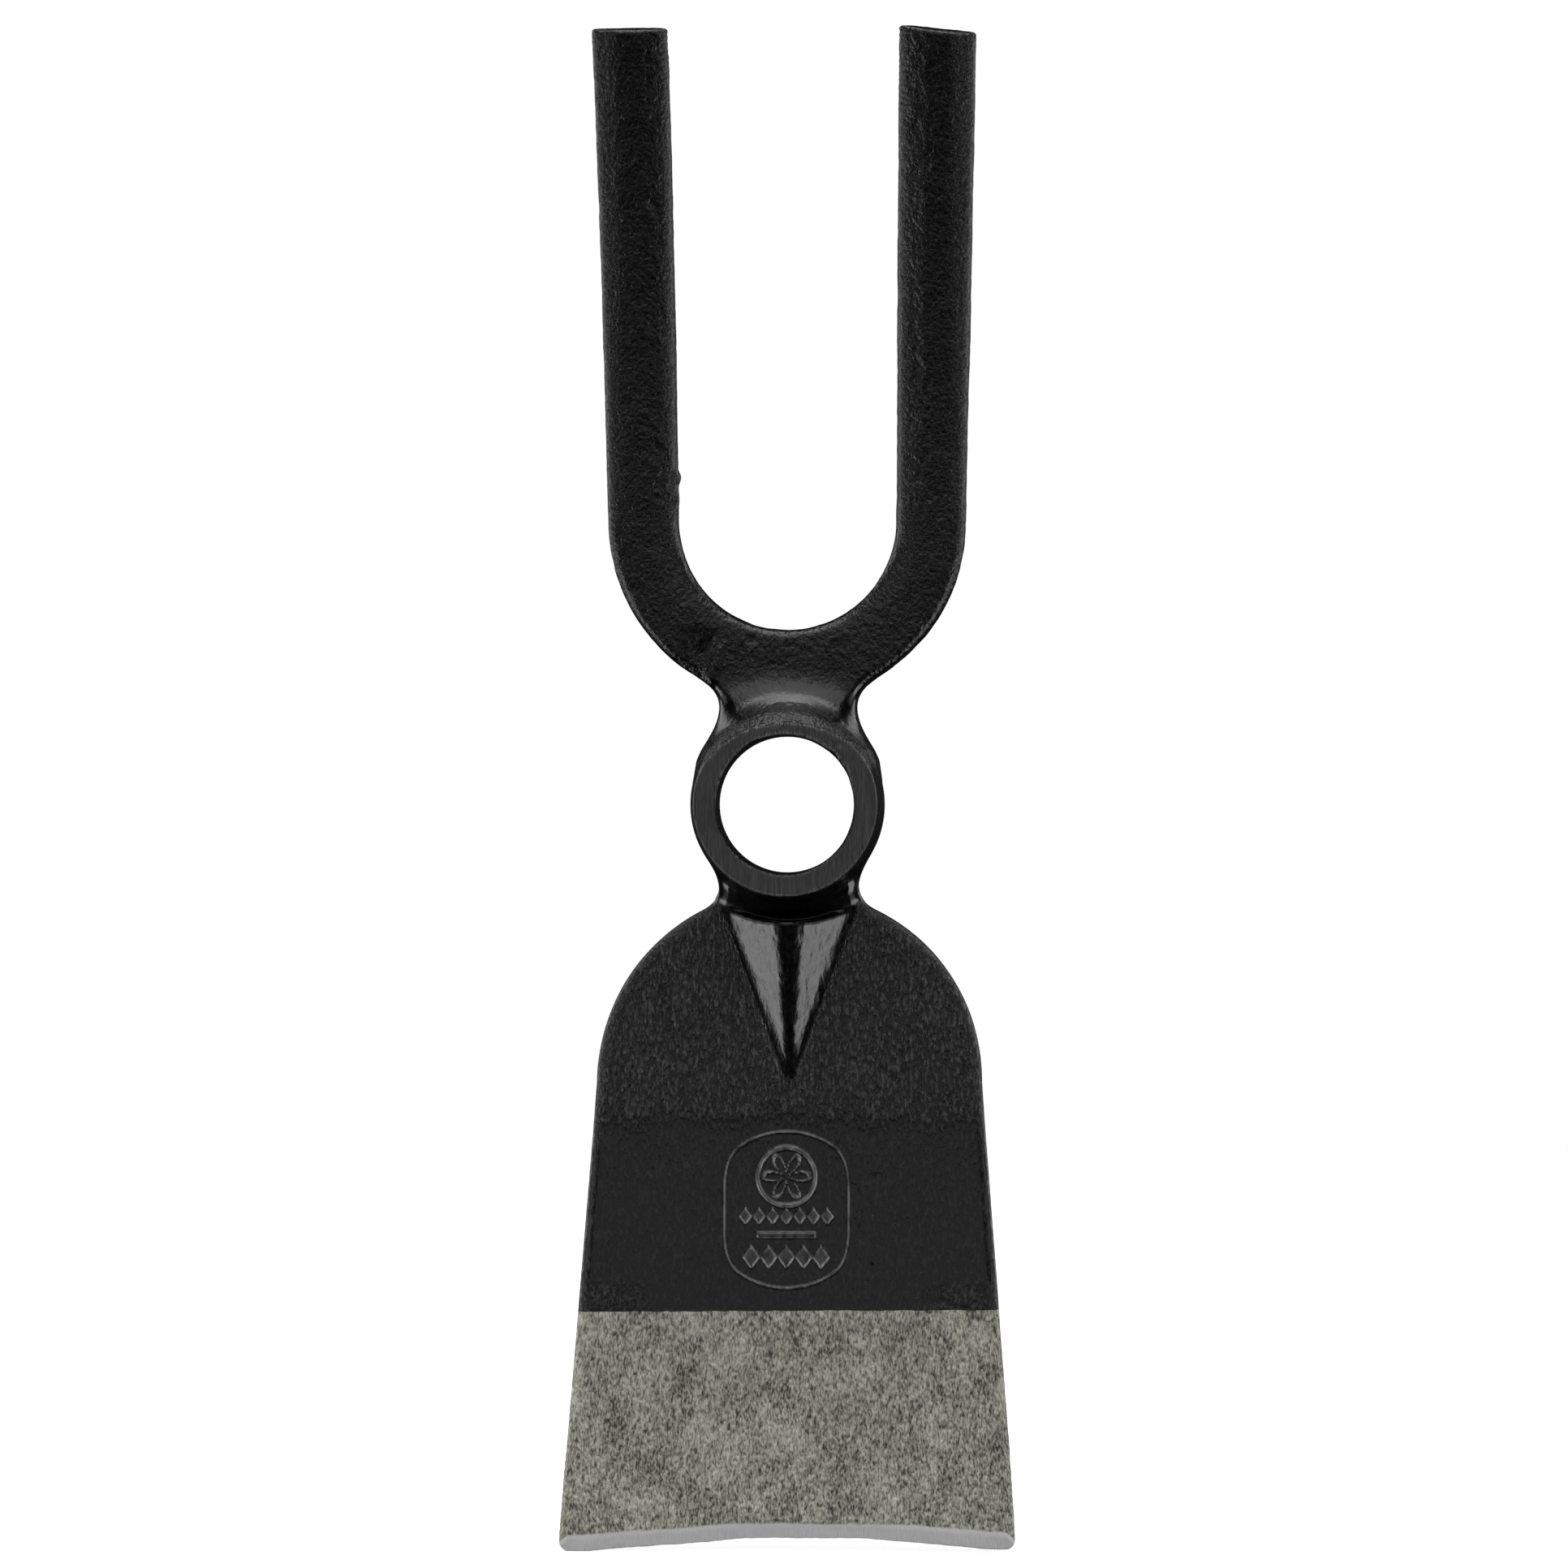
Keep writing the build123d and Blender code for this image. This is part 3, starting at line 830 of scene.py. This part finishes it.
def close(skin, faces):
    """The lids that close a piece where it was parted from its neighbours. A lid on the eye's
    cylinder is worked out unrolled, with points of its own, so that it stays round. The rib's
    lid is sunk to the middle of the blade."""
    lids = []
    for loop in open_rims(faces, len(skin["points"])):
        n = len(loop)
        rim = skin["points"][loop]
        x, y, z = rim.T
        indexes = list(loop)
        on_cylinder = np.abs(np.hypot(x, z) - eye_cut_r).max() < 0.05
        if on_cylinder:
            flat, grid, bent = unrolled(rim)
            indexes += grow(skin, bent, (0.0, 0.0, 1.0))
            flat = np.concatenate([flat, grid])
        else:
            thin = np.abs(np.cross(rim, np.roll(rim, -1, axis=0)).sum(0)).argmax()
            flat = np.delete(rim, thin, axis=1)
            round_rib = np.ptp(z) > 6
            if round_rib:
                sunk = rim.copy()
                sunk[:, 1] = sum(blade_faces(z)) / 2
                indexes = grow(skin, sunk, (0.0, -1.0, 0.0))
                for i in range(n):
                    j = (i + 1) % n
                    lids += [[loop[i], loop[j], indexes[j]], [loop[i], indexes[j], indexes[i]]]
        ahead = np.roll(flat[:n], -1, axis=0)
        area = (flat[:n, 0] * ahead[:, 1] - flat[:n, 1] * ahead[:, 0]).sum()
        outline = list(range(n)) if area > 0 else list(range(n))[::-1]
        found = geometry.delaunay_2d_cdt([Vector(p) for p in flat], [], [outline], 0, 1e-9, True)
        for triangle, source in zip(found[2], found[5]):
            if not source:
                continue
            corners = [found[3][corner][0] for corner in triangle]
            (ax, ay), (bx, by), (cx, cy) = (flat[corner] for corner in corners)
            if ((bx - ax) * (cy - ay) - (by - ay) * (cx - ax)) * area < 0:
                corners.reverse()
            lids.append([indexes[corner] for corner in corners])
    return np.array(lids, int).reshape(-1, 3)


def make_piece(name, skin, faces, material):
    """A finished piece: its share of the skin, its lids, and the whole skin's smooth shading."""
    lids = close(skin, faces)
    every = np.concatenate([faces, lids])
    used, corners = np.unique(every, return_inverse=True)
    corners = corners.reshape(-1, 3)
    mesh = bpy.data.meshes.new(name)
    mesh.from_pydata((skin["points"][used] / MM).tolist(), [], corners.tolist())
    mesh.polygons.foreach_set("use_smooth", [True] * len(corners))
    shade = skin["normals"][used][corners]
    a, b, c = (skin["points"][every[len(faces) :, i]] for i in range(3))
    flat = np.cross(b - a, c - a)
    flat /= np.maximum(np.linalg.norm(flat, axis=1), 1e-9)[:, None]
    shade[len(faces) :] = flat[:, None, :]
    ends = np.zeros(2 * len(mesh.edges), int)
    mesh.edges.foreach_get("vertices", ends)
    ends = np.sort(ends.reshape(-1, 2), axis=1) @ (len(used), 1)
    around = np.sort(corners[:, [0, 1, 1, 2, 2, 0]].reshape(-1, 3, 2), axis=2) @ (len(used), 1)
    on_skin, on_lid = np.isin(ends, around[: len(faces)]), np.isin(ends, around[len(faces) :])
    mesh.edges.foreach_set("use_edge_sharp", on_skin & on_lid)
    mesh.normals_split_custom_set(shade.reshape(-1, 3).tolist())
    mesh.materials.append(material)
    # the whetted bevel, the painted highlight on the signs' slopes, and how coarse the grain is
    for label, share_at in (("whetted", whetted_share), ("sign_highlight", sign_highlight_share), ("grain", grain_share)):
        share = mesh.attributes.new(label, "FLOAT", "POINT")
        share.data.foreach_set("value", share_at(skin["points"][used]).astype(np.float32))
    piece = bpy.data.objects.new(name, mesh)
    bpy.context.scene.collection.objects.link(piece)
    print(name, len(corners), "triangles,", len(lids), "in lids")
    return piece


skin = {"points": points, "normals": normals}
eye_faces, rest = part(skin, triangles, lambda p: np.hypot(p[:, 0], p[:, 2]) - eye_cut_r)
lower, upper = part(skin, rest, lambda p: p[:, 2])
neck_faces, upper = part(skin, upper, lambda p: p[:, 2] - root_z)
crotch_faces, upper = part(skin, upper, lambda p: p[:, 2] - bend_z)
left_faces, right_faces = part(skin, upper, lambda p: p[:, 0])
lower, web_faces = part(skin, lower, lambda p: p[:, 2] - blade_root_z)


def above_bit(points):
    """The ground band's upper line, a little tilted and ragged; positive above it."""
    line = bare_top_z + bit_line_tilt * points[:, 0]
    return points[:, 2] - line + bit_line_rough * lumps(points, (1.3, 1.3, 1.3), 51)


def off_rib(points):
    """Negative within the V on the front half of the blade's thickness."""
    x, y, z = points.T
    sides = np.abs(x - blade_x) - rib_half(z) - facet_overlap
    behind = y - sum(blade_faces(z)) / 2
    return np.max((sides, z - blade_root_z + 0.4, rib_foot_z + 0.5 - z, behind), axis=0)


bit_faces, plate = part(skin, lower, above_bit)
rib_faces, plate_faces = part(skin, plate, off_rib)

# ---- Lacquered pieces --------------------------------------------------------------------
# All of the head but its edge is dipped in thin black lacquer over the forge scale, which
# shows through it as an upright grain. The near end of the sleeve was ground before the dip.
# Painted highlights lighten the crests of the grain and the slopes of the struck signs on the blade.


def feed(tree, socket, value):
    """Links another node's output to an input, or sets the input to a plain value."""
    if isinstance(value, bpy.types.NodeSocket):
        tree.links.new(value, socket)
    else:
        socket.default_value = value


def add(tree, kind, settings=None, **inputs):
    """A shader node with its settings and its inputs; an input is a value or another's output."""
    made = tree.nodes.new(kind)
    for name, value in (settings or {}).items():
        setattr(made, name, value)
    for name, value in inputs.items():
        feed(tree, made.inputs[name.replace("_", " ")], value)
    return made


def stretched_noise(tree, place, per_mm, detail=3.0, turn=0.0):
    """Noise with this many features a millimetre along x, y and z."""
    scale = tuple(MM * each for each in per_mm)
    mapping = add(tree, "ShaderNodeMapping", Vector=place, Rotation=(0, turn, 0), Scale=scale)
    noise_node = add(tree, "ShaderNodeTexNoise", Vector=mapping.outputs[0], Scale=1.0, Detail=detail)
    return noise_node.outputs["Fac"]


def ranged(tree, value, low, high, to_low, to_high):
    """A value spread from one range to another, and held at its ends."""
    made = add(tree, "ShaderNodeMapRange", Value=value)
    for place, number in zip((1, 2, 3, 4), (low, high, to_low, to_high)):
        made.inputs[place].default_value = number
    return made.outputs[0]


def maths(tree, operation, a, b):
    """Two values put together by a Math node."""
    made = add(tree, "ShaderNodeMath", {"operation": operation})
    for socket, value in zip(made.inputs, (a, b)):
        feed(tree, socket, value)
    return made.outputs[0]


def mixed(tree, share, a, b, kind="FLOAT"):
    """Two values run into each other."""
    made = add(tree, "ShaderNodeMix", {"data_type": kind})
    sockets = [socket for socket in made.inputs if socket.enabled]
    for socket, value in zip(sockets, (share, a, b)):
        feed(tree, socket, value)
    return next(socket for socket in made.outputs if socket.enabled)


def blended(tree, share, a, b):
    """Two colours run into each other."""
    return mixed(tree, share, a, b, "RGBA")


def attribute(tree, name):
    """A share that was worked out at each point of the skin."""
    return add(tree, "ShaderNodeAttribute", {"attribute_name": name}).outputs["Fac"]


clean_lacquer = (0.0012, 0.0016, 0.0014, 1)
# painted highlight: the crests of the grain are made lighter, where the scale's bumps would catch the light
crest_highlight = (0.052, 0.054, 0.053, 1)
# painted highlight on the slopes of the struck signs, brightest on their right and lower sides
sign_highlight_colour = (0.32, 0.325, 0.32, 1)
ring_dark = (0.001, 0.0012, 0.001, 1)       # brush lines on the ground end of the sleeve
ring_light = (0.022, 0.023, 0.022, 1)
ring_roughness = 0.40
brush_turn = math.radians(6)
lacquer_bump = 0.00006
flake_height, peel_height, brush_height = 8.0, 0.5, 8.0     # in units of the bump's distance
fork_from = (0.010, 0.012)                  # metres up from the eye's axis
ground_reach = (0.0210, 0.0205)             # metres up and down, where the ground end stops
ground_depth = (-0.0134, -0.0138)           # metres towards the user, where it starts
fork_crest_highlight = 0.1                             # share of the blade's painted crest highlight that is put on the fork


def black_lacquer():
    """Thin black lacquer over forge scale: an upright grain, and brush lines on the ground
    near end of the sleeve. Painted highlights lighten the crests of the grain and the signs' slopes."""
    material = bpy.data.materials.new("black_lacquer")
    material.use_nodes = True
    tree = material.node_tree
    place = add(tree, "ShaderNodeTexCoord").outputs["Object"]
    split = add(tree, "ShaderNodeSeparateXYZ", Vector=place)
    grain = stretched_noise(tree, place, (1.9, 1.9, 0.8), 4.0)
    scale = stretched_noise(tree, place, (1.5, 1.5, 1.3), 5.0)
    sign_highlight = attribute(tree, "sign_highlight")
    peel = stretched_noise(tree, place, (1.1, 1.1, 0.8), 2.0)
    brush = stretched_noise(tree, place, (2.6, 1.0, 0.10), 4.0, brush_turn)
    coarse = attribute(tree, "grain")
    on_fork = ranged(tree, split.outputs["Z"], *fork_from, 0.0, 1.0)
    from_axis = maths(tree, "ABSOLUTE", split.outputs["Z"], 0.0)
    by_eye = ranged(tree, from_axis, *ground_reach, 0.0, 1.0)
    at_end = ranged(tree, split.outputs["Y"], *ground_depth, 0.0, 1.0)
    ground_end = maths(tree, "MULTIPLY", at_end, by_eye)
    level = maths(tree, "SUBTRACT", mixed(tree, on_fork, grain, scale), 0.5)
    flakes = maths(tree, "MULTIPLY", level, coarse)
    scaly = maths(tree, "MULTIPLY", flakes, flake_height)
    coat = maths(tree, "ADD", scaly, maths(tree, "MULTIPLY", peel, peel_height))
    height = mixed(tree, ground_end, coat, maths(tree, "MULTIPLY", brush, brush_height))
    relief = add(tree, "ShaderNodeBump", Strength=1.0, Distance=lacquer_bump, Height=height)
    sheen = mixed(tree, ground_end, ranged(tree, peel, 0.3, 0.7, 0.17, 0.28), ring_roughness)
    worn = blended(tree, ranged(tree, brush, 0.35, 0.65, 0.0, 1.0), ring_dark, ring_light)
    # painted highlight on the crests of the grain, weaker on the fork
    high = maths(tree, "MULTIPLY", ranged(tree, level, 0.0, 0.18, 0.0, 1.0), coarse)
    crests = maths(tree, "MULTIPLY", high, ranged(tree, on_fork, 0.0, 1.0, 1.0, fork_crest_highlight))
    with_crest_highlight = blended(tree, crests, clean_lacquer, crest_highlight)
    colour = blended(tree, ground_end, with_crest_highlight, worn)
    # painted highlight laid over the slopes of the struck signs
    shown = blended(tree, sign_highlight, colour, sign_highlight_colour)
    glint = maths(tree, "ADD", maths(tree, "MULTIPLY", ground_end, 0.25), 0.5)
    paint = tree.nodes["Principled BSDF"]
    feed(tree, paint.inputs["Base Color"], shown)
    feed(tree, paint.inputs["Specular IOR Level"], glint)
    feed(tree, paint.inputs["Roughness"], sheen)
    feed(tree, paint.inputs["Normal"], relief.outputs[0])
    return material


lacquer = black_lacquer()

for name, node, faces in (
    ("forged_eye_socket", "eye_socket", eye_faces),
    ("forged_fork_neck", "fork_neck", neck_faces),
    ("forged_fork_crotch", "fork_crotch", crotch_faces),
    ("forged_left_tine", "left_tine", left_faces),
    ("forged_right_tine", "right_tine", right_faces),
    ("forged_blade_neck", "blade_neck", web_faces),
    ("forged_stiffening_rib", "stiffening_rib", rib_faces),
    ("forged_blade_plate", "blade_plate", plate_faces),
):
    piece = make_piece(name, skin, faces, lacquer)
    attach(piece, "root")
    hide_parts(node)

# ---- Cutting bit -------------------------------------------------------------------------
# The lower band of the blade, ground bare after the dip. The grinding leaves it mottled grey
# with upright specks; the bevel is whetted last and is the brightest part of the head, its pale colour
# partly a painted reflection of the bright floor below.
steel_dark = (0.08, 0.08, 0.068, 1)
steel_light = (0.66, 0.66, 0.56, 1)
# freshly whetted steel, paler than the band, with a painted reflection of the bright floor below
whetted_and_reflected_colour = (0.68, 0.68, 0.68, 1)
steel_bump = 0.00014


def ground_steel():
    """Bare ground steel: mottled grey with upright specks, brighter on the whetted bevel, partly by a
    painted reflection.
    """
    material = bpy.data.materials.new("ground_steel")
    material.use_nodes = True
    tree = material.node_tree
    place = add(tree, "ShaderNodeTexCoord").outputs["Object"]
    bevel = attribute(tree, "whetted")
    clouds = stretched_noise(tree, place, (0.17, 0.17, 0.10), 4.0)
    mottle = stretched_noise(tree, place, (1.3, 1.3, 0.6), 5.0)
    specks = stretched_noise(tree, place, (3.2, 3.2, 1.1), 5.0)
    lines = stretched_noise(tree, place, (9.0, 1.0, 0.3), 2.0)
    fine = maths(tree, "ADD", maths(tree, "MULTIPLY", mottle, 0.3), maths(tree, "MULTIPLY", specks, 0.5))
    flecks = maths(tree, "ADD", fine, maths(tree, "MULTIPLY", clouds, 0.2))
    mottled = blended(tree, ranged(tree, flecks, 0.40, 0.60, 0, 1), steel_dark, steel_light)
    # the bevel's pale colour is partly a painted reflection
    colour = blended(tree, bevel, mottled, whetted_and_reflected_colour)
    height = mixed(tree, bevel, specks, lines)
    relief = add(tree, "ShaderNodeBump", Strength=1.0, Distance=steel_bump, Height=height)
    metal = tree.nodes["Principled BSDF"]
    # the bevel is made less metallic so that its pale painted reflection shows under the lamps
    feed(tree, metal.inputs["Metallic"], mixed(tree, bevel, 1.0, 0.3))
    feed(tree, metal.inputs["Base Color"], colour)
    feed(tree, metal.inputs["Roughness"], mixed(tree, bevel, 0.5, 0.6))
    feed(tree, metal.inputs["Normal"], relief.outputs[0])
    return material


bit = make_piece("ground_cutting_bit", skin, bit_faces, ground_steel())
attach(bit, "root")
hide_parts("cutting_bit")
